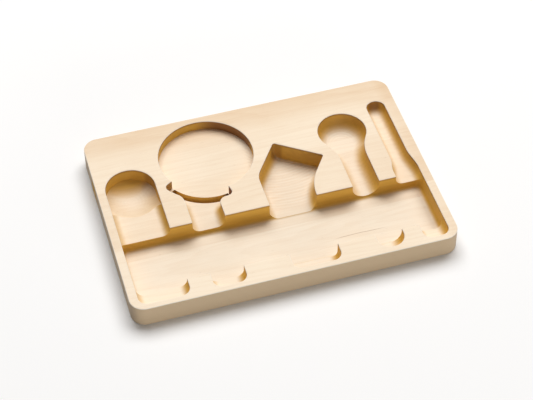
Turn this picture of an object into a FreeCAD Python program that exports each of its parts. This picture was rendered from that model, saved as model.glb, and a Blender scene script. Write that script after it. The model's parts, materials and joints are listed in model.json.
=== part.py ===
import FreeCAD, Part
import math
import os
import re

import Sketcher

# A tool storage caddy: three boards glued edge to edge into one flat panel, then milled from
# above with a long trough and five shaped pockets that run out into it.
# X runs along the length, Y from the front rim to the back, Z up. The origin is the middle of
# the underside. Sizes are in millimetres and angles in degrees.

SIZES = {
    # The panel and its boards.
    "panel_length": 355.0,
    "panel_depth": 251.0,
    "panel_thickness": 25.4,
    "panel_corner": 16.0,
    "edge_ease": 0.5,
    # Every cutter stands this far above the panel, so that it leaves no skin.
    "overcut": 2.0,
    # Rounds that meet keep at least this much between them.
    "least_flat": 0.2,
    # The trough. A floor is the wood left under a hollow, a foot is the round along its floor.
    "side_rim": 9.4,
    "front_rim": 27.3,
    "trough_width": 72.2,
    "trough_floor": 3.0,
    "trough_corner": 8.0,
    "trough_foot": 5.0,
    # Each pocket runs on across the trough and ends as a notch in the front rim.
    "notch_reach": 20.3,
    "notch_corner": 9.6,
    # Pocket 1: a round-ended slot along the left wall, with a bowl sunk in its round end.
    "slot_width": 54.5,
    "slot_back_rim": 57.0,
    "slot_floor": 14.0,
    "slot_foot": 9.0,
    "bowl_radius": 51.7,
    "bowl_rim_radius": 32.0,
    # Pocket 2: a round dish with two ears, a deep curved groove and a neck.
    "slot_land": 10.7,
    "dish_radius": 52.7,
    "dish_back_rim": 7.2,
    "dish_floor": 13.5,
    "ear_reach": 12.2,
    "ear_start": 149.3,
    "ear_span": 72.4,
    "ear_corner": 5.5,
    "groove_inset": 0.4,
    "groove_width": 4.3,
    "groove_floor": 4.1,
    "groove_start": 146.0,
    "groove_span": 68.0,
    "neck_offset": -20.9,
    "neck_width": 36.1,
    "neck_floor": 9.0,
    "neck_foot": 9.4,
    "neck_left_flare": 16.0,
    "neck_right_flare": 8.6,
    "collar_left_margin": 11.0,
    "collar_right_margin": 9.5,
    # Pocket 3: a broad scoop whose back end turns to the right.
    "scoop_land": 40.8,
    "scoop_mouth_width": 53.0,
    "scoop_floor": 3.8,
    "scoop_shift": 29.7,
    "scoop_back_rim": 63.4,
    "scoop_end_width": 58.6,
    "scoop_turn": 34.8,
    "scoop_inner_bend": 58.0,
    "scoop_outer_bend": 25.0,
    "scoop_foot": 9.4,
    "scoop_end_corner": 2.5,
    # Pocket 4: a round bulb with a narrower neck and a nearly round bottom.
    "bulb_land": 10.4,
    "bulb_radius": 27.3,
    "bulb_back_rim": 40.4,
    "bulb_floor": 6.3,
    "bulb_foot": 14.0,
    "bulb_neck_width": 30.2,
    "bulb_neck_flare": 53.0,
    "bulb_notch_corner": 14.6,
    # Pocket 5: a slim slot along the right wall, whose mouth flares both ways.
    "slim_width": 21.3,
    "slim_back_rim": 33.5,
    "slim_end_corner": 10.2,
    "slim_floor": 12.4,
    "slim_foot": 9.0,
    "mouth_left_step": 3.3,
    "mouth_right_step": 4.0,
    "mouth_left_start": 25.0,
    "mouth_left_end": 12.0,
    "mouth_right_start": 32.0,
    "mouth_right_end": 12.0,
    "mouth_left_flare": 30.0,
    "mouth_right_flare": 60.0,
}

# The boards from the front to the back, all of one width.
BOARDS = ("front_board", "middle_board", "back_board")

# Places that several hollows share, each worked out from the sizes above. A name that ends in
# fit is a round's radius, kept small enough for the walls that it lies between.
PLACES = {
    "left_face": "0 - panel_length / 2",
    "right_face": "panel_length / 2",
    "front_face": "0 - panel_depth / 2",
    "back_face": "panel_depth / 2",
    "board_width": "panel_depth / %d" % len(BOARDS),
    "tool_top": "panel_thickness + overcut",
    "wall_top": "panel_thickness - edge_ease - least_flat",
    "wall_left": "left_face + side_rim",
    "wall_right": "right_face - side_rim",
    "trough_front": "front_face + front_rim",
    "trough_step": "trough_front + trough_width",
    "notch_end": "trough_front - notch_reach",
    "slot_right": "wall_left + slot_width",
    "slot_x": "wall_left + slot_width / 2",
    "slot_y": "back_face - slot_back_rim - slot_width / 2",
    "slot_foot_fit": "min(slot_foot; notch_corner - least_flat; wall_top - slot_floor)",
    "bowl_z": "slot_floor + sqrt(bowl_radius ^ 2 - bowl_rim_radius ^ 2)",
    "dish_x": "slot_right + slot_land + dish_radius",
    "dish_y": "back_face - dish_back_rim - dish_radius",
    "ear_radius": "dish_radius + ear_reach",
    "groove_inner": "dish_radius - groove_inset",
    "groove_middle": "groove_inner + groove_width / 2",
    "groove_outer": "groove_inner + groove_width",
    "neck_left": "dish_x + neck_offset - neck_width / 2",
    "neck_right": "dish_x + neck_offset + neck_width / 2",
    "neck_back": "dish_y - dish_radius / 2",
    "neck_foot_fit": "min(neck_foot; notch_corner - least_flat; wall_top - neck_floor)",
    "collar_left": "90 + asin((dish_x - neck_left) / ear_radius) / (1 deg) + collar_left_margin",
    "collar_right": "90 + asin((dish_x - neck_right) / ear_radius) / (1 deg) - collar_right_margin",
    "slim_right": "wall_right - mouth_right_step",
    "slim_left": "slim_right - slim_width",
    "slim_end": "back_face - slim_back_rim",
    "slim_end_fit": "min(slim_end_corner; slim_width / 2 - least_flat)",
    "slim_corner_fit": "min(slim_end_fit; notch_corner) - least_flat",
    "slim_foot_fit": "min(slim_foot; slim_corner_fit; wall_top - slim_floor)",
    "bulb_x": "slim_left - bulb_land - bulb_radius",
    "bulb_y": "back_face - bulb_back_rim - bulb_radius",
    "bulb_neck_left": "bulb_x - bulb_neck_width / 2",
    "bulb_neck_right": "bulb_x + bulb_neck_width / 2",
    "bulb_notch_fit": "min(bulb_notch_corner; bulb_neck_width / 2 - least_flat)",
    "bulb_foot_fit": "min(bulb_foot; bulb_notch_fit - least_flat; wall_top - bulb_floor)",
    "scoop_left": "bulb_neck_left - scoop_land - scoop_mouth_width",
    "scoop_right": "scoop_left + scoop_mouth_width",
    "scoop_end_x": "scoop_left + scoop_shift",
    "scoop_end_y": "back_face - scoop_back_rim",
    "scoop_far_x": "scoop_end_x + scoop_end_width * cos(scoop_turn * 1 deg)",
    "scoop_far_y": "scoop_end_y - scoop_end_width * sin(scoop_turn * 1 deg)",
    "scoop_slope": "1 / tan(scoop_turn * 1 deg)",
    "scoop_bend_left": "scoop_end_y - (scoop_end_x - scoop_left) * scoop_slope",
    "scoop_bend_right": "scoop_far_y - (scoop_far_x - scoop_right) * scoop_slope",
    "scoop_foot_fit": "min(scoop_foot; notch_corner - least_flat)",
    "mouth_left": "slim_left - mouth_left_step",
    "mouth_left_back": "trough_step + mouth_left_start",
    "mouth_left_front": "trough_step + mouth_left_end",
    "mouth_right_back": "trough_step + mouth_right_start",
    "mouth_right_front": "trough_step + mouth_right_end",
}

# Points this near each other count as one.
NEAR = 1e-4

doc = FreeCAD.newDocument("ToolCaddy")


def fill_sheet():
    """Writes every size and place into the sheet, one named cell each."""
    sheet = doc.addObject("Spreadsheet::Sheet", "Sizes")
    row = 1
    for name, size in SIZES.items():
        sheet.set("A%d" % row, name)
        sheet.set("B%d" % row, str(size))
        sheet.setAlias("B%d" % row, name)
        row += 1
    for name, formula in PLACES.items():
        sheet.set("A%d" % row, name)
        sheet.set("B%d" % row, "=" + formula)
        sheet.setAlias("B%d" % row, name)
        row += 1
    doc.recompute()
    return sheet


sizes = fill_sheet()


def cell(formula):
    """Rewrites a formula of bare size names so that any object can read it."""
    def qualify(found):
        return "Sizes." + found[0] if found[0] in SIZES or found[0] in PLACES else found[0]

    return re.sub("[a-z_]+", qualify, formula)


def number(formula):
    """The present value of a formula."""
    result = sizes.evalExpression(cell(formula))
    return float(getattr(result, "Value", result))


def bind(thing, field, formula):
    """Ties a field of an object to the sheet."""
    thing.setExpression(field, cell(formula))


def new_sketch(body, name, height):
    """A sketch on the body's own XY plane, lifted to a height."""
    sketch = body.newObject("Sketcher::SketchObject", name)
    plane = next(item for item in body.Origin.OriginFeatures if item.Role == "XY_Plane")
    sketch.AttachmentSupport = (plane, "")
    sketch.MapMode = "FlatFace"
    bind(sketch, "AttachmentOffset.Base.z", height)
    return sketch


def hold_distance(sketch, kind, side, end, formula):
    """Holds one point of a side at a distance from the sketch's origin."""
    index = sketch.addConstraint(Sketcher.Constraint(kind, -1, 1, side, end, number(formula)))
    bind(sketch, "Constraints[%d]" % index, formula)


def draw_polygon(sketch, corners):
    """Draws a closed polygon. Side 0 starts at corner 0."""
    points = [FreeCAD.Vector(number(x), number(y), 0) for x, y in corners]
    count = len(points)
    for side in range(count):
        sketch.addGeometry(Part.LineSegment(points[side], points[(side + 1) % count]))
    for side in range(count):
        sketch.addConstraint(Sketcher.Constraint("Coincident", side, 2, (side + 1) % count, 1))
    for side, (x, y) in enumerate(corners):
        hold_distance(sketch, "DistanceX", side, 1, x)
        hold_distance(sketch, "DistanceY", side, 1, y)


def draw_round_slot(sketch, left, right, centre_y, front):
    """Draws a slot with a half-round back end: left side, arc, right side, front end."""
    front_left = FreeCAD.Vector(number(left), number(front), 0)
    front_right = FreeCAD.Vector(number(right), number(front), 0)
    arc_left = FreeCAD.Vector(number(left), number(centre_y), 0)
    arc_right = FreeCAD.Vector(number(right), number(centre_y), 0)
    radius = (arc_right - arc_left).Length / 2
    circle = Part.Circle((arc_left + arc_right) / 2, FreeCAD.Vector(0, 0, 1), radius)
    sketch.addGeometry(Part.LineSegment(front_left, arc_left))
    sketch.addGeometry(Part.ArcOfCircle(circle, 0, math.pi))
    sketch.addGeometry(Part.LineSegment(arc_right, front_right))
    sketch.addGeometry(Part.LineSegment(front_right, front_left))
    sketch.addConstraint(Sketcher.Constraint("Tangent", 0, 2, 1, 2))
    sketch.addConstraint(Sketcher.Constraint("Tangent", 1, 1, 2, 1))
    sketch.addConstraint(Sketcher.Constraint("Coincident", 2, 2, 3, 1))
    sketch.addConstraint(Sketcher.Constraint("Coincident", 3, 2, 0, 1))
    sketch.addConstraint(Sketcher.Constraint("Vertical", 0))
    sketch.addConstraint(Sketcher.Constraint("Vertical", 2))
    sketch.addConstraint(Sketcher.Constraint("Horizontal", 3))
    hold_distance(sketch, "DistanceX", 0, 1, left)
    hold_distance(sketch, "DistanceX", 3, 1, right)
    hold_distance(sketch, "DistanceY", 0, 1, front)
    hold_distance(sketch, "DistanceY", 1, 3, centre_y)


def pad_up(body, sketch, floor, top="tool_top"):
    """Pads a sketch from its floor up to a top."""
    pad = body.newObject("PartDesign::Pad", sketch.Name + "Pad")
    pad.Profile = sketch
    bind(pad, "Length", top + " - " + floor)
    doc.recompute()


def add_cylinder(body, kind, name, place, radius, floor, sector=None):
    """Adds or takes away an upright cylinder, or a sector from a start through a span."""
    cylinder = body.newObject("PartDesign::" + kind, name)
    bind(cylinder, "Radius", radius)
    bind(cylinder, "Height", "tool_top - " + floor)
    bind(cylinder, "Placement.Base.x", place[0])
    bind(cylinder, "Placement.Base.y", place[1])
    bind(cylinder, "Placement.Base.z", floor)
    if sector:
        start, span = sector
        downward = FreeCAD.Vector(0, 0, -1)
        cylinder.Placement.Rotation = FreeCAD.Rotation(downward, number(start))
        bind(cylinder, "Placement.Rotation.Angle", start)
        bind(cylinder, "Angle", span)
    doc.recompute()


def is_upright(edge):
    """True for an edge whose two ends lie one above the other."""
    low, high = edge.Vertexes[0].Point, edge.Vertexes[-1].Point
    return math.hypot(low.x - high.x, low.y - high.y) < NEAR < abs(low.z - high.z)


def lies_on_side(edge, side):
    """True where both ends of an edge are in line with a straight side of a sketch."""
    along = (side.EndPoint - side.StartPoint).normalize()
    offsets = [vertex.Point - side.StartPoint for vertex in edge.Vertexes]
    return all(abs(along.x * offset.y - along.y * offset.x) < NEAR for offset in offsets)


def dress_edges(body, kind, field, name, size, is_wanted):
    """Fillets or chamfers those edges of a body that a test picks."""
    base = body.Tip
    names = ["Edge%d" % (i + 1) for i, edge in enumerate(base.Shape.Edges) if is_wanted(edge)]
    dressing = body.newObject("PartDesign::" + kind, name)
    dressing.Base = (base, names)
    bind(dressing, field, size)
    doc.recompute()


def round_edges(body, name, radius, is_wanted):
    """Rounds those edges of a body that a test picks."""
    dress_edges(body, "Fillet", "Radius", name, radius, is_wanted)


def round_corners(body, sketch, name, radius, corners):
    """Rounds the upright edges that stand on some corners of a sketch."""
    points = [sketch.Geometry[corner].StartPoint for corner in corners]

    def stands_on_corner(edge):
        foot = edge.Vertexes[0].Point
        gaps = [math.hypot(foot.x - point.x, foot.y - point.y) for point in points]
        return is_upright(edge) and min(gaps) < NEAR

    round_edges(body, name, radius, stands_on_corner)


def round_foot(body, sketch, name, radius, only=None, leave=()):
    """Rounds a cutter's lowest edges, which shape the foot of the hollow's walls."""
    lowest = body.Tip.Shape.BoundBox.ZMin

    def is_wanted(edge):
        if max(vertex.Z for vertex in edge.Vertexes) > lowest + NEAR:
            return False
        if any(lies_on_side(edge, sketch.Geometry[side]) for side in leave):
            return False
        return only is None or any(lies_on_side(edge, sketch.Geometry[side]) for side in only)

    round_edges(body, name, radius, is_wanted)


def make_blank():
    """The glued panel before milling, with round corners in plan."""
    body = doc.addObject("PartDesign::Body", "Blank")
    sketch = new_sketch(body, "BlankOutline", "0")
    draw_polygon(sketch, [
        ("left_face", "front_face"),
        ("right_face", "front_face"),
        ("right_face", "back_face"),
        ("left_face", "back_face"),
    ])
    pad_up(body, sketch, "0", "panel_thickness")
    round_corners(body, sketch, "BlankCorners", "panel_corner", range(4))
    return body


def make_trough_cutter():
    """The long trough across the front, with round corners and a round foot."""
    body = doc.addObject("PartDesign::Body", "TroughCutter")
    sketch = new_sketch(body, "TroughOutline", "trough_floor")
    draw_polygon(sketch, [
        ("wall_left", "trough_front"),
        ("wall_right", "trough_front"),
        ("wall_right", "trough_step"),
        ("wall_left", "trough_step"),
    ])
    pad_up(body, sketch, "trough_floor")
    round_corners(body, sketch, "TroughCorners", "trough_corner", range(4))
    round_foot(body, sketch, "TroughFoot", "trough_foot")
    return body


def make_slot_cutter():
    """Pocket 1's slot, from its half-round back end to its notch."""
    body = doc.addObject("PartDesign::Body", "SlotCutter")
    sketch = new_sketch(body, "SlotOutline", "slot_floor")
    draw_round_slot(sketch, "wall_left", "slot_right", "slot_y", "notch_end")
    pad_up(body, sketch, "slot_floor")
    round_corners(body, sketch, "SlotNotchCorners", "notch_corner", (0, 3))
    round_foot(body, sketch, "SlotFoot", "slot_foot_fit")
    return body


def make_bowl_cutter():
    """Pocket 1's bowl: a ball on the round end's axis, kept inside the slot's upright walls."""
    body = doc.addObject("PartDesign::Body", "BowlWalls")
    sketch = new_sketch(body, "BowlWallOutline", "0")
    draw_round_slot(sketch, "wall_left", "slot_right", "slot_y", "slot_y - bowl_radius")
    pad_up(body, sketch, "0")
    ball = doc.addObject("Part::Sphere", "BowlBall")
    bind(ball, "Radius", "bowl_radius")
    bind(ball, "Placement.Base.x", "slot_x")
    bind(ball, "Placement.Base.y", "slot_y")
    bind(ball, "Placement.Base.z", "bowl_z")
    return combine("Part::Common", "BowlCutter", ball, body)


def make_dish_cutter():
    """Pocket 2's round dish and the two ears beside its neck, all on one level."""
    body = doc.addObject("PartDesign::Body", "DishCutter")
    middle = ("dish_x", "dish_y")
    ears = ("ear_start", "ear_span")
    add_cylinder(body, "AdditiveCylinder", "Ears", middle, "ear_radius", "dish_floor", ears)
    reach = number("ear_radius")
    axis = FreeCAD.Vector(number("dish_x"), number("dish_y"), 0)

    def is_outer_corner(edge):
        foot = edge.Vertexes[0].Point
        distance = math.hypot(foot.x - axis.x, foot.y - axis.y)
        return is_upright(edge) and abs(distance - reach) < NEAR

    round_edges(body, "EarCorners", "ear_corner", is_outer_corner)
    full_turn = ("ear_start - ear_span / 2", "360")
    add_cylinder(body, "AdditiveCylinder", "Dish", middle, "dish_radius", "dish_floor", full_turn)
    return body


def make_groove_cutter():
    """Pocket 2's deep curved groove, which follows the dish's edge across the neck."""
    body = doc.addObject("PartDesign::Body", "GrooveCutter")
    middle = ("dish_x", "dish_y")
    span = ("groove_start", "groove_span")
    add_cylinder(body, "AdditiveCylinder", "Groove", middle, "groove_outer", "groove_floor", span)
    add_cylinder(body, "SubtractiveCylinder", "GrooveCore", middle, "groove_inner", "0")
    return body


def make_neck_cutter():
    """Pocket 2's neck: a flat collar outside the groove, flared into a round-footed channel."""
    body = doc.addObject("PartDesign::Body", "NeckCutter")
    middle = ("dish_x", "dish_y")
    span = ("collar_left", "collar_left - collar_right")
    add_cylinder(body, "AdditiveCylinder", "Collar", middle, "ear_radius", "neck_floor", span)
    sketch = new_sketch(body, "NeckOutline", "neck_floor")
    draw_polygon(sketch, [
        ("neck_left", "notch_end"),
        ("neck_right", "notch_end"),
        ("neck_right", "neck_back"),
        ("neck_left", "neck_back"),
    ])
    pad_up(body, sketch, "neck_floor")
    add_cylinder(body, "SubtractiveCylinder", "NeckCore", middle, "groove_middle", "0")
    reach = number("ear_radius")
    axis = FreeCAD.Vector(number("dish_x"), number("dish_y"), 0)

    def round_flare(name, radius, side):
        """Rounds the edge where one side of the channel leaves the collar."""
        def is_flare(edge):
            foot = edge.Vertexes[0].Point
            distance = math.hypot(foot.x - axis.x, foot.y - axis.y)
            return is_upright(edge) and abs(foot.x - side) < NEAR and abs(distance - reach) < NEAR

        round_edges(body, name, radius, is_flare)

    round_flare("NeckLeftFlare", "neck_left_flare", number("neck_left"))
    round_flare("NeckRightFlare", "neck_right_flare", number("neck_right"))
    round_corners(body, sketch, "NeckNotchCorners", "notch_corner", (0, 1))
    round_foot(body, sketch, "NeckFoot", "neck_foot_fit", only=(0,))
    return body


def make_scoop_cutter():
    """Pocket 3: a broad scoop that leaves the trough and turns to a square back end."""
    body = doc.addObject("PartDesign::Body", "ScoopCutter")
    sketch = new_sketch(body, "ScoopOutline", "scoop_floor")
    draw_polygon(sketch, [
        ("scoop_left", "notch_end"),
        ("scoop_right", "notch_end"),
        ("scoop_right", "scoop_bend_right"),
        ("scoop_far_x", "scoop_far_y"),
        ("scoop_end_x", "scoop_end_y"),
        ("scoop_left", "scoop_bend_left"),
    ])
    pad_up(body, sketch, "scoop_floor")
    round_corners(body, sketch, "ScoopNotchCorners", "notch_corner", (0, 1))
    round_corners(body, sketch, "ScoopInnerBend", "scoop_inner_bend", (2,))
    round_corners(body, sketch, "ScoopOuterBend", "scoop_outer_bend", (5,))
    round_foot(body, sketch, "ScoopFoot", "scoop_foot_fit", leave=(3,))
    round_foot(body, sketch, "ScoopEndFoot", "scoop_end_corner", only=(3,))
    return body


def make_bulb_cutter():
    """Pocket 4: a round bulb that narrows to a neck, with a nearly round bottom all along."""
    body = doc.addObject("PartDesign::Body", "BulbCutter")
    middle = ("bulb_x", "bulb_y")
    add_cylinder(body, "AdditiveCylinder", "Bulb", middle, "bulb_radius", "bulb_floor")
    sketch = new_sketch(body, "BulbNeckOutline", "bulb_floor")
    draw_polygon(sketch, [
        ("bulb_neck_left", "notch_end"),
        ("bulb_neck_right", "notch_end"),
        ("bulb_neck_right", "bulb_y"),
        ("bulb_neck_left", "bulb_y"),
    ])
    pad_up(body, sketch, "bulb_floor")
    front = number("notch_end")

    def is_flare(edge):
        foot = edge.Vertexes[0].Point
        return is_upright(edge) and foot.y > front + NEAR

    round_edges(body, "BulbFlares", "bulb_neck_flare", is_flare)
    round_corners(body, sketch, "BulbNotchCorners", "bulb_notch_fit", (0, 1))
    round_foot(body, sketch, "BulbFoot", "bulb_foot_fit")
    return body


def make_slim_cutter():
    """Pocket 5: a slim slot along the right wall, with a round back end and a flared mouth."""
    body = doc.addObject("PartDesign::Body", "SlimCutter")
    sketch = new_sketch(body, "SlimOutline", "slim_floor")
    draw_polygon(sketch, [
        ("mouth_left", "notch_end"),
        ("wall_right", "notch_end"),
        ("wall_right", "mouth_right_front"),
        ("slim_right", "mouth_right_back"),
        ("slim_right", "slim_end"),
        ("slim_left", "slim_end"),
        ("slim_left", "mouth_left_back"),
        ("mouth_left", "mouth_left_front"),
    ])
    pad_up(body, sketch, "slim_floor")
    round_corners(body, sketch, "SlimNotchCorners", "notch_corner", (0, 1))
    round_corners(body, sketch, "SlimRightFlare", "mouth_right_flare", (2, 3))
    round_corners(body, sketch, "SlimLeftFlare", "mouth_left_flare", (6, 7))
    round_corners(body, sketch, "SlimEnd", "slim_end_fit", (4, 5))
    round_foot(body, sketch, "SlimFoot", "slim_foot_fit")
    return body


def combine(kind, name, base, tool):
    """Joins two shapes with a boolean."""
    result = doc.addObject(kind, name)
    result.Base = base
    result.Tool = tool
    result.Refine = True
    doc.recompute()
    return result


def mill_panel():
    """Cuts every hollow out of the blank, one after the other."""
    panel = make_blank()
    makers = (
        make_trough_cutter,
        make_slot_cutter,
        make_bowl_cutter,
        make_dish_cutter,
        make_groove_cutter,
        make_neck_cutter,
        make_scoop_cutter,
        make_bulb_cutter,
        make_slim_cutter,
    )
    for make_cutter in makers:
        cutter = make_cutter()
        panel = combine("Part::Cut", cutter.Name.replace("Cutter", "Milled"), panel, cutter)
    return panel


def ease_edges(panel):
    """Breaks every edge of the panel's top and underside with a small chamfer."""
    body = doc.addObject("PartDesign::Body", "EasedPanel")
    body.BaseFeature = panel
    doc.recompute()
    top = number("panel_thickness")

    def is_rim(edge):
        heights = [vertex.Z for vertex in edge.Vertexes]
        return max(heights) < NEAR or min(heights) > top - NEAR

    dress_edges(body, "Chamfer", "Size", "EasedEdges", "edge_ease", is_rim)
    return body


def saw_board(panel, name, place):
    """The panel's share that lies in one board, counted from the front."""
    slab = doc.addObject("Part::Box", name.title().replace("_", "") + "Slab")
    bind(slab, "Length", "panel_length")
    bind(slab, "Width", "board_width")
    bind(slab, "Height", "panel_thickness")
    bind(slab, "Placement.Base.x", "left_face")
    bind(slab, "Placement.Base.y", "front_face + %d * board_width" % place)
    board = combine("Part::Common", name.title().replace("_", ""), panel, slab)
    board.Label = name
    return board


def check_and_export(boards):
    """Stops at any failed object, then writes each board to its own file."""
    doc.recompute()
    for item in doc.Objects:
        if "Invalid" in item.State or "Error" in item.State:
            raise RuntimeError(item.Name + " failed to build")
    for board in boards:
        if board.Shape.isNull() or not board.Shape.isValid():
            raise RuntimeError(board.Label + " has no valid shape")
    os.makedirs("parts", exist_ok=True)
    for board in boards:
        board.Shape.exportStep("parts/%s.step" % board.Label)
        print(board.Label, len(board.Shape.Solids), "solid", round(board.Shape.Volume, 1))


finished = ease_edges(mill_panel())
check_and_export([saw_board(finished, name, place) for place, name in enumerate(BOARDS)])
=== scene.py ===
"""Looks of the tool storage caddy: bare fine-sanded maple, milled pockets, soft studio light."""
from collections import namedtuple
import json
import math

import bpy
from mathutils import Euler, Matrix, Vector


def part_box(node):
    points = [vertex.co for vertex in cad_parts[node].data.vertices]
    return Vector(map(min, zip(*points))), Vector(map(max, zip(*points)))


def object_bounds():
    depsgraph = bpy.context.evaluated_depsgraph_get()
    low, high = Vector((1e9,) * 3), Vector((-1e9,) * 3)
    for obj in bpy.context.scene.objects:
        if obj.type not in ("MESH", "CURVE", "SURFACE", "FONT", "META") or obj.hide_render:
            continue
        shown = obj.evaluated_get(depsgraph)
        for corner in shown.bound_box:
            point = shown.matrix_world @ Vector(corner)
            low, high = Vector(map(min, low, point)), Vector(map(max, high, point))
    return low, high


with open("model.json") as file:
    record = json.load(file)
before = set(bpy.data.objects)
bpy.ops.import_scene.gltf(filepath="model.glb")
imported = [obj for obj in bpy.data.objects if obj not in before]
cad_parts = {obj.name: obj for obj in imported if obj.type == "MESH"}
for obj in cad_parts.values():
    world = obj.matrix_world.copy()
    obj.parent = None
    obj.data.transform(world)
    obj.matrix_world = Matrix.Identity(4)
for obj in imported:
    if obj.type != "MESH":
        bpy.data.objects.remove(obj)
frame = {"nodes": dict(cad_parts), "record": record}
cad_box = [list(corner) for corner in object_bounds()]

# Lengths whose names end in _MM, and all places inside the materials, are in millimetres.
MM = 0.001
LOW, HIGH = Vector(cad_box[0]), Vector(cad_box[1])
TOP_MM = HIGH.z / MM
HALF_LENGTH_MM = (HIGH.x - LOW.x) / 2 / MM
HALF_DEPTH_MM = (HIGH.y - LOW.y) / 2 / MM
SEAM_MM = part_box("back_board")[0][1] / MM
OPENINGS = {opening["name"]: opening["box_m"] for opening in frame["record"]["physics"]["openings"]}

# The CAD model's own sizes of the panel's corners, the front rim and the trough.
CORNER_MM = 16.0
FRONT_RIM_MM = 27.3
TROUGH_WIDTH_MM = 72.2
TROUGH_FRONT_MM = FRONT_RIM_MM - HALF_DEPTH_MM
STEP_MM = TROUGH_FRONT_MM + TROUGH_WIDTH_MM

# The key lamp's bearing in degrees, clockwise from the back. The milled walls' painted shade uses it too.
KEY_BEARING = 20.0


# ---------------------------------------------------------------- shader nodes in code

class Graph:
    """A node tree that is written as sums: every helper takes sockets or numbers."""

    # The places of a Mix node's sockets for colours.
    MIX_SHARE, MIX_FIRST, MIX_SECOND, MIX_RESULT = 0, 6, 7, 2

    def __init__(self, tree):
        self.nodes = tree.nodes
        self.links = tree.links

    def node(self, kind, **fields):
        made = self.nodes.new(kind)
        for field, value in fields.items():
            setattr(made, field, value)
        return made

    def feed(self, socket, value):
        """Links a socket to a value, or sets it."""
        if isinstance(value, bpy.types.NodeSocket):
            self.links.new(value, socket)
        else:
            socket.default_value = value

    def math(self, operation, *values):
        made = self.node("ShaderNodeMath", operation=operation)
        for socket, value in zip(made.inputs, values):
            self.feed(socket, value)
        return made.outputs[0]

    def add(self, *values):
        total = values[0]
        for value in values[1:]:
            total = self.math("ADD", total, value)
        return total

    def times(self, *values):
        product = values[0]
        for value in values[1:]:
            product = self.math("MULTIPLY", product, value)
        return product

    def less(self, first, second):
        return self.math("SUBTRACT", first, second)

    def larger(self, first, second):
        return self.math("MAXIMUM", first, second)

    def size(self, value):
        """A value without its sign."""
        return self.math("ABSOLUTE", value)

    def length(self, first, second):
        """The length of a two-part offset."""
        return self.math("SQRT", self.add(self.times(first, first), self.times(second, second)))

    def ramp(self, value, start, end, low=0.0, high=1.0):
        """Goes smoothly from low to high as a value goes from start to end."""
        made = self.node("ShaderNodeMapRange", interpolation_type="SMOOTHSTEP")
        for socket, number in zip(made.inputs, (value, start, end, low, high)):
            self.feed(socket, number)
        return made.outputs[0]

    def split(self, vector):
        made = self.node("ShaderNodeSeparateXYZ")
        self.feed(made.inputs[0], vector)
        return made.outputs

    def join(self, x, y, z):
        made = self.node("ShaderNodeCombineXYZ")
        for socket, value in zip(made.inputs, (x, y, z)):
            self.feed(socket, value)
        return made.outputs[0]

    def noise(self, vector, detail=2.0, roughness=0.5):
        """Soft noise from 0 to 1, one cell to a unit."""
        made = self.node("ShaderNodeTexNoise")
        self.feed(made.inputs["Vector"], vector)
        made.inputs["Scale"].default_value = 1.0
        made.inputs["Detail"].default_value = detail
        made.inputs["Roughness"].default_value = roughness
        return made.outputs["Fac"]

    def mix(self, share, first, second, blend="MIX"):
        made = self.node("ShaderNodeMix", data_type="RGBA", blend_type=blend)
        self.feed(made.inputs[self.MIX_SHARE], share)
        self.feed(made.inputs[self.MIX_FIRST], first)
        self.feed(made.inputs[self.MIX_SECOND], second)
        return made.outputs[self.MIX_RESULT]


# ---------------------------------------------------------------- places on the caddy

def middle(opening):
    """The middle of an opening that the record states, seen from above."""
    low, high = OPENINGS[opening]
    return [(first + last) / 2 / MM for first, last in zip(low[:2], high[:2])]


def way_from(graph, opening, place, shift=(0.0, 0.0)):
    """The way to a place from an opening's middle, or from a point beside it, seen from above."""
    return [
        graph.less(part, centre + aside)
        for part, centre, aside in zip(place, middle(opening), shift)
    ]


def below_top(graph, place):
    """How far a place lies under the panel's top."""
    return graph.less(TOP_MM, place[2])


def inset(graph, place):
    """How far a place lies inside the panel's round-cornered outline."""
    past_x = graph.less(graph.size(place[0]), HALF_LENGTH_MM - CORNER_MM)
    past_y = graph.less(graph.size(place[1]), HALF_DEPTH_MM - CORNER_MM)
    beyond = graph.length(graph.larger(past_x, 0.0), graph.larger(past_y, 0.0))
    within = graph.math("MINIMUM", graph.larger(past_x, past_y), 0.0)
    return graph.less(CORNER_MM, graph.add(beyond, within))


# ---------------------------------------------------------------- grain

Grain = namedtuple("Grain", "ring streak fibre fleck cloud")


def grain_parts(graph, place, seed, pith, lean):
    """Growth rings, streaks, fibres, flecks and clouds of one board, each from 0 to 1.

    The rings run round the pith, a line near the X axis that crosses X = 0 at the place pith in
    Y and Z and leans slightly. The seed moves a board's noise away from the other boards'.
    """
    x, y, z = place
    ring_spacing = 3.6
    seed_x, seed_y, seed_z = (graph.add(part, shift) for part, shift in zip(place, seed))

    def stretched(along, across):
        return graph.join(
            graph.times(seed_x, along),
            graph.times(seed_y, across),
            graph.times(seed_z, across),
        )

    sway = graph.less(graph.noise(stretched(0.007, 0.022), 2.0), 0.5)
    wander = graph.less(graph.noise(stretched(0.02, 0.11), 3.0), 0.5)
    from_pith_y = graph.add(y, -pith[0], graph.times(x, lean[0]), graph.times(sway, 26.0))
    from_pith_z = graph.add(z, -pith[1], graph.times(x, lean[1]), graph.times(sway, 9.0))
    radius = graph.add(graph.length(from_pith_y, from_pith_z), graph.times(wander, 2.2))
    turns = graph.math("FRACT", graph.times(radius, 1 / ring_spacing))
    return Grain(
        ring=graph.times(graph.ramp(turns, 0.25, 0.88), graph.ramp(turns, 1.0, 0.90)),
        streak=graph.noise(stretched(0.008, 0.30), 4.0, 0.6),
        fibre=graph.noise(stretched(0.05, 2.6), 3.0, 0.65),
        fleck=graph.ramp(graph.noise(stretched(0.16, 1.9), 1.0), 0.74, 0.80),
        cloud=graph.noise(stretched(0.012, 0.016), 2.0),
    )


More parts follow.
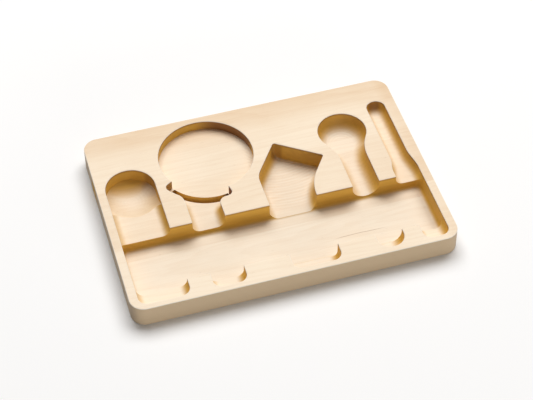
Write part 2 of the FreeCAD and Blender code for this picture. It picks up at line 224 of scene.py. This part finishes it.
def mineral_streak(graph, place, start, end, line_y, width):
    """One thin dark line along the grain."""
    x, y = place[:2]
    drift = graph.less(graph.noise(graph.join(graph.times(x, 0.03), 3.0, 0.0), 2.0), 0.5)
    offset = graph.size(graph.add(y, -line_y, graph.times(drift, 3.0)))
    length = graph.times(graph.ramp(x, start, start + 14.0), graph.ramp(x, end, end - 22.0))
    return graph.times(graph.ramp(offset, width, 0.0), length)


# ---------------------------------------------------------------- faces, cutter marks and painted shade

# The wall share carries painted shade; the edge share carries a painted highlight.
Faces = namedtuple("Faces", "wall side end_grain edge")

# Painted deep shade on walls: the opening, the way from its middle, the spot's reach and strength.
DEEP_SHADE_SPOTS = (
    ("slot_bowl", (24.9, 8.8), 18.0, 0.60),
    ("scoop_end", (-8.5, 32.8), 11.0, 0.55),
    ("slim_pocket", (0.5, 66.5), 14.0, 0.75),
    ("dish_left_ear", (-2.5, 8.3), 9.0, 0.60),
    ("dish_right_ear", (4.4, 3.3), 9.0, 1.00),
)


def bowl_slope_shade(graph, place):
    """Painted shade on the back slope of the bowl in pocket 1, as dark as the wall above it.

    A known fault: nothing bounds it on the left or by the way that a face points, so a patch of it
    also shows on the outer left face and on the underside.
    """
    right, back = way_from(graph, "slot_bowl", place)
    return graph.times(
        graph.ramp(right, 32.8, 28.8),
        graph.ramp(back, 0.8, 21.8),
        graph.ramp(back, 34.8, 30.8),
        graph.ramp(below_top(graph, place), 3.0, 6.0),
    )


def find_faces(graph, place):
    """Where the surface is a milled wall with painted shade, an outer side, end grain and a painted edge
    highlight.
    """
    normal = graph.split(graph.node("ShaderNodeTexCoord").outputs["Normal"])
    inner = graph.ramp(inset(graph, place), 1.5, 3.0)
    steep = graph.ramp(graph.length(normal[0], normal[1]), 0.06, 0.92)
    upright = graph.ramp(graph.size(normal[2]), 0.60, 0.20)
    tilted = graph.ramp(normal[2], 0.97, 0.85)
    near_top = graph.ramp(below_top(graph, place), 0.6, 0.4)
    # Walls that face away from the key lamp get the most painted shade, those that face it little.
    key_turn = math.radians(KEY_BEARING)
    towards_key = graph.add(
        graph.times(normal[0], math.sin(key_turn)),
        graph.times(normal[1], math.cos(key_turn)),
    )
    milled = graph.times(steep, inner, graph.ramp(towards_key, -0.2, 0.6, 1.0, 0.20))
    return Faces(
        wall=graph.larger(milled, bowl_slope_shade(graph, place)),
        side=graph.times(upright, graph.less(1.0, inner)),
        end_grain=graph.ramp(graph.size(normal[0]), 0.55, 0.97),
        edge=graph.times(near_top, tilted),
    )


def cutter_rings(graph, offset, spacing, reach):
    """Round ridges from -1 to 1 that fade out at their reach."""
    radius = graph.length(*offset)
    wave = graph.math("SINE", graph.times(radius, 2 * math.pi / spacing))
    return graph.times(wave, graph.ramp(radius, reach, reach - 3.0))


def tool_marks(graph, place):
    """Faint ridges that the cutter left in pockets 1, 3 and 4, as a height.

    They also show faintly on the underside, and those of pocket 3 on the back face.
    """
    from_bowl = way_from(graph, "slot_bowl", place)
    bowl = graph.times(cutter_rings(graph, from_bowl, 3.6, 27.0), 0.3)

    from_swing = way_from(graph, "scoop_end", place, (-6.5, 65.75))
    scoop_x = way_from(graph, "scoop_end", place)[0]
    in_scoop = graph.times(graph.ramp(scoop_x, -44.5, -40.5), graph.ramp(scoop_x, 39.5, 35.5))
    behind_step = graph.ramp(place[1], STEP_MM + 2.0, STEP_MM + 16.0)
    scoop = graph.times(cutter_rings(graph, from_swing, 4.0, 112.0), in_scoop, behind_step)

    from_bulb = way_from(graph, "bulb", place)
    back_half = graph.ramp(from_bulb[1], 0.2, 12.2)
    bulb = graph.times(cutter_rings(graph, from_bulb, 3.4, 25.0), back_half, 1.3)
    return graph.times(graph.add(bowl, scoop, bulb), graph.ramp(below_top(graph, place), 0.6, 3.0))


def painted_deep_shade(graph, place):
    """Painted deep shade on the walls: the back right of the dish, and the spots above."""
    right, back = way_from(graph, "dish", place)
    deep_shade = graph.times(
        graph.ramp(right, -11.8, 26.2),
        graph.ramp(right, 57.2, 53.2),
        graph.ramp(back, -9.6, 14.4),
        0.9,
    )
    for opening, shift, reach, strength in DEEP_SHADE_SPOTS:
        away = graph.length(*way_from(graph, opening, place, shift))
        deep_shade = graph.larger(deep_shade, graph.ramp(away, reach, reach * 0.4, high=strength))
    return deep_shade


# ---------------------------------------------------------------- wood

PALE = (0.905, 0.768, 0.592, 1.0)
DEEP = (0.740, 0.530, 0.330, 1.0)
FLECK = (0.360, 0.190, 0.080, 1.0)
# The milled walls' amber: partly the wood's own deeper tone, mostly painted shade.
WALL_AMBER_AND_SHADE = (0.760, 0.430, 0.050, 1.0)
# The darkest brown of the painted deep shade on the walls.
DEEP_SHADE_WALL = (0.200, 0.060, 0.012, 1.0)
# The outer sides' maple, drawn deeper and warmer than the top: painted shade.
SHADED_OUTER_SIDE = (0.860, 0.640, 0.400, 1.0)
END_GRAIN = (0.620, 0.480, 0.340, 1.0)
# A painted highlight on the broken top edges.
EDGE_HIGHLIGHT = (0.980, 0.930, 0.840, 1.0)
# Painted shade for the deepest floors.
LOW_FLOOR_SHADE = (0.945, 0.965, 1.000, 1.0)


def flat_colour(graph, place, grain, marks, shade, streak_line):
    """The wood of lands and floors.

    It is deeper in the grain, on the glue lines and at the back and right rims. Painted shade makes it
    a little cooler and darker low down, on the deepest floors and the underside.
    """
    x, y = place[:2]
    depth = graph.add(
        graph.times(grain.ring, 0.11),
        graph.ramp(grain.streak, 0.35, 0.75, -0.04, 0.11),
        graph.ramp(grain.fibre, 0.30, 0.70, -0.08, 0.09),
        graph.ramp(grain.cloud, 0.30, 0.70, -0.05, 0.12),
        graph.times(marks, 0.10),
        graph.ramp(graph.less(graph.size(y), SEAM_MM), 0.45, 0.0, high=0.22),
        graph.ramp(y, HALF_DEPTH_MM - 49.5, HALF_DEPTH_MM - 9.5, high=0.50),
        graph.ramp(x, HALF_LENGTH_MM - 19.5, HALF_LENGTH_MM - 3.5, high=0.28),
        shade,
    )
    colour = graph.mix(graph.larger(depth, 0.0), PALE, DEEP)
    colour = graph.mix(graph.times(grain.fleck, 0.35), colour, FLECK)
    if streak_line:
        line = mineral_streak(graph, place, *streak_line)
        colour = graph.mix(graph.times(line, 0.75), colour, FLECK)
    # Painted shade: a little cooler and darker on the lowest floors behind the notches and on the
    # underside.
    behind_notches = graph.ramp(y, TROUGH_FRONT_MM - 17.8, TROUGH_FRONT_MM + 0.2)
    low_floor_shade = graph.times(graph.ramp(below_top(graph, place), 12.5, 15.0), behind_notches)
    return graph.mix(low_floor_shade, colour, LOW_FLOOR_SHADE, "MULTIPLY")


def side_colour(graph, place, faces, colour):
    """Lays the outer sides over a colour, with open pores where they cut the grain's ends."""
    fine = graph.join(*(graph.times(part, 1.7) for part in place))
    pores = graph.ramp(graph.noise(fine, 3.0), 0.35, 0.75)
    open_ends = graph.add(0.55, graph.times(pores, 0.35))
    # The outer sides get the deeper, warmer colour of painted shade.
    colour = graph.mix(graph.times(faces.side, 0.85), colour, SHADED_OUTER_SIDE)
    return graph.mix(graph.times(faces.side, faces.end_grain, open_ends), colour, END_GRAIN)


def shaded_wall_colour(graph, place, grain):
    """The amber of a milled wall with painted shade, darker along its top, behind the step and in the
    painted deep shade.
    """
    # Painted shade: darker just under the rim and on the pocket walls behind the step.
    shade_along_top = graph.ramp(below_top(graph, place), 4.0, 0.8, high=0.45)
    layers = graph.ramp(grain.streak, 0.35, 0.70, high=0.10)
    behind_step = graph.ramp(place[1], STEP_MM + 2.0, STEP_MM + 12.0, high=0.18)
    even = graph.add(shade_along_top, layers, behind_step)
    return graph.mix(graph.larger(painted_deep_shade(graph, place), even), WALL_AMBER_AND_SHADE, DEEP_SHADE_WALL)


def fine_relief(graph, grain, marks):
    """The bump of fibres, rings, flecks and tool marks, as a normal."""
    height = graph.add(
        graph.times(grain.fibre, 0.018),
        graph.times(grain.ring, 0.012),
        graph.times(grain.fleck, -0.05),
        graph.times(marks, 0.045),
    )
    bump = graph.node("ShaderNodeBump")
    bump.inputs["Strength"].default_value = 0.8
    bump.inputs["Distance"].default_value = MM
    graph.feed(bump.inputs["Height"], height)
    return bump.outputs["Normal"]


def wood(name, seed, pith, lean, shade, streak_line=None):
    """Bare maple with the grain along X, drawn in the solid, so that end grain shows its rings."""
    material = bpy.data.materials.new(name)
    material.use_nodes = True
    graph = Graph(material.node_tree)
    shader = material.node_tree.nodes["Principled BSDF"]
    coordinates = graph.node("ShaderNodeTexCoord").outputs["Object"]
    place = [graph.times(part, 1 / MM) for part in graph.split(coordinates)]
    grain = grain_parts(graph, place, seed, pith, lean)
    faces = find_faces(graph, place)
    marks = graph.times(tool_marks(graph, place), graph.less(1.0, faces.wall))

    colour = flat_colour(graph, place, grain, marks, shade, streak_line)
    colour = side_colour(graph, place, faces, colour)
    # Milled walls take their amber with its painted shade.
    colour = graph.mix(graph.times(faces.wall, 0.97), colour, shaded_wall_colour(graph, place, grain))
    # A painted highlight along the broken top edges.
    colour = graph.mix(graph.times(faces.edge, 0.8), colour, EDGE_HIGHLIGHT)
    roughness = graph.add(0.46, graph.times(grain.fibre, 0.12), graph.times(faces.end_grain, 0.12))
    graph.feed(shader.inputs["Base Color"], colour)
    graph.feed(shader.inputs["Roughness"], roughness)
    graph.feed(shader.inputs["Normal"], fine_relief(graph, grain, marks))
    shader.inputs["Specular IOR Level"].default_value = 0.35
    return material


def dress(node, material):
    """Gives a CAD node one material all over."""
    piece = frame["nodes"][node]
    piece.data.materials.clear()
    piece.data.materials.append(material)


dress("back_board", wood(
    "maple_back", seed=(310.0, 40.0, 12.0), pith=(96.0, -64.0), lean=(0.03, 0.02), shade=0.10,
))
dress("middle_board", wood(
    "maple_middle", seed=(120.0, 260.0, 70.0), pith=(-34.0, -88.0), lean=(-0.02, 0.03), shade=0.0,
))
dress("front_board", wood(
    "maple_front", seed=(-240.0, 90.0, 35.0), pith=(-66.0, -42.0), lean=(0.01, -0.035), shade=0.02,
    streak_line=(51.0, 118.0, -73.0, 0.55),
))


# ---------------------------------------------------------------- studio

LAMP_COLOUR = (1.0, 0.99, 0.98)
SKY_COLOUR = (1.0, 0.985, 0.965, 1.0)
BACKDROP_WHITE = (0.97, 0.97, 0.965, 1.0)
FLOOR_WHITE = (0.975, 0.975, 0.975, 1.0)
FLOOR_GREY = (0.40, 0.40, 0.395, 1.0)


def shows_backdrop(graph):
    """1 for a ray from the camera, from a reflection or through glass, and 0 for one that gathers light."""
    path = graph.node("ShaderNodeLightPath").outputs
    bent = graph.larger(path["Is Glossy Ray"], path["Is Transmission Ray"])
    return graph.larger(path["Is Camera Ray"], bent)


def floor_material():
    """A pale matt floor, which throws only as much light back onto the caddy as a grey one."""
    material = bpy.data.materials.new("pale_floor")
    material.use_nodes = True
    graph = Graph(material.node_tree)
    shader = material.node_tree.nodes["Principled BSDF"]
    graph.feed(shader.inputs["Base Color"], graph.mix(shows_backdrop(graph), FLOOR_GREY, FLOOR_WHITE))
    shader.inputs["Roughness"].default_value = 0.9
    shader.inputs["Specular IOR Level"].default_value = 0.0
    return material


def make_floor():
    """A plain pale floor, far wider than the view."""
    bpy.ops.mesh.primitive_plane_add(size=9.0, location=(0.0, 0.0, LOW.z))
    floor = bpy.context.object
    floor.name = "studio_floor"
    floor.data.materials.append(floor_material())


def make_world():
    """An even sky for the fill light. The camera and reflections see it white."""
    world = bpy.data.worlds.new("studio")
    bpy.context.scene.world = world
    world.use_nodes = True
    world.node_tree.nodes.clear()
    graph = Graph(world.node_tree)
    fill = graph.node("ShaderNodeBackground")
    fill.inputs["Color"].default_value = SKY_COLOUR
    fill.inputs["Strength"].default_value = 0.10
    white = graph.node("ShaderNodeBackground")
    white.inputs["Color"].default_value = BACKDROP_WHITE
    both = graph.node("ShaderNodeMixShader")
    for socket, value in zip(both.inputs, (shows_backdrop(graph), fill.outputs[0], white.outputs[0])):
        graph.feed(socket, value)
    output = graph.node("ShaderNodeOutputWorld")
    graph.feed(output.inputs["Surface"], both.outputs[0])


def add_soft_box(name, bearing, height, distance, width, depth, power):
    """A wide soft box that looks down at the caddy from a bearing and a height in degrees."""
    data = bpy.data.lights.new(name, "AREA")
    data.shape = "RECTANGLE"
    data.size = width
    data.size_y = depth
    data.energy = power
    data.color = LAMP_COLOUR
    lamp = bpy.data.objects.new(name, data)
    bpy.context.scene.collection.objects.link(lamp)
    turn, lift = math.radians(bearing), math.radians(height)
    aim = Vector((math.sin(turn) * math.cos(lift), math.cos(turn) * math.cos(lift), math.sin(lift)))
    lamp.visible_camera = False
    lamp.location = aim * distance
    lamp.rotation_euler = (-aim).to_track_quat("-Z", "Y").to_euler()


def add_camera():
    """A long lens from the front, a little to the left, about 48 degrees up."""
    azimuth, elevation, roll = (math.radians(angle) for angle in (-15.70, 47.77, -0.90))
    distance = 1.7143
    target = Vector((1.39 * MM, 4.36 * MM, LOW.z))
    data = bpy.data.cameras.new("camera")
    data.sensor_width = 36.0
    data.lens = 105.8
    camera = bpy.data.objects.new("camera", data)
    bpy.context.scene.collection.objects.link(camera)
    offset = Vector((
        math.cos(elevation) * math.sin(azimuth),
        -math.cos(elevation) * math.cos(azimuth),
        math.sin(elevation),
    ))
    camera.location = target + offset * distance
    facing = (-offset).to_track_quat("-Z", "Y")
    camera.rotation_euler = (facing @ Euler((0.0, 0.0, roll)).to_quaternion()).to_euler()
    bpy.context.scene.camera = camera


make_floor()
make_world()
add_soft_box("key_light", KEY_BEARING, height=62.0, distance=6.0, width=6.2, depth=4.0, power=444.0)
add_soft_box("front_fill", 172.0, height=7.0, distance=3.0, width=1.8, depth=0.4, power=24.0)
add_camera()
bpy.context.scene.view_settings.view_transform = "Standard"
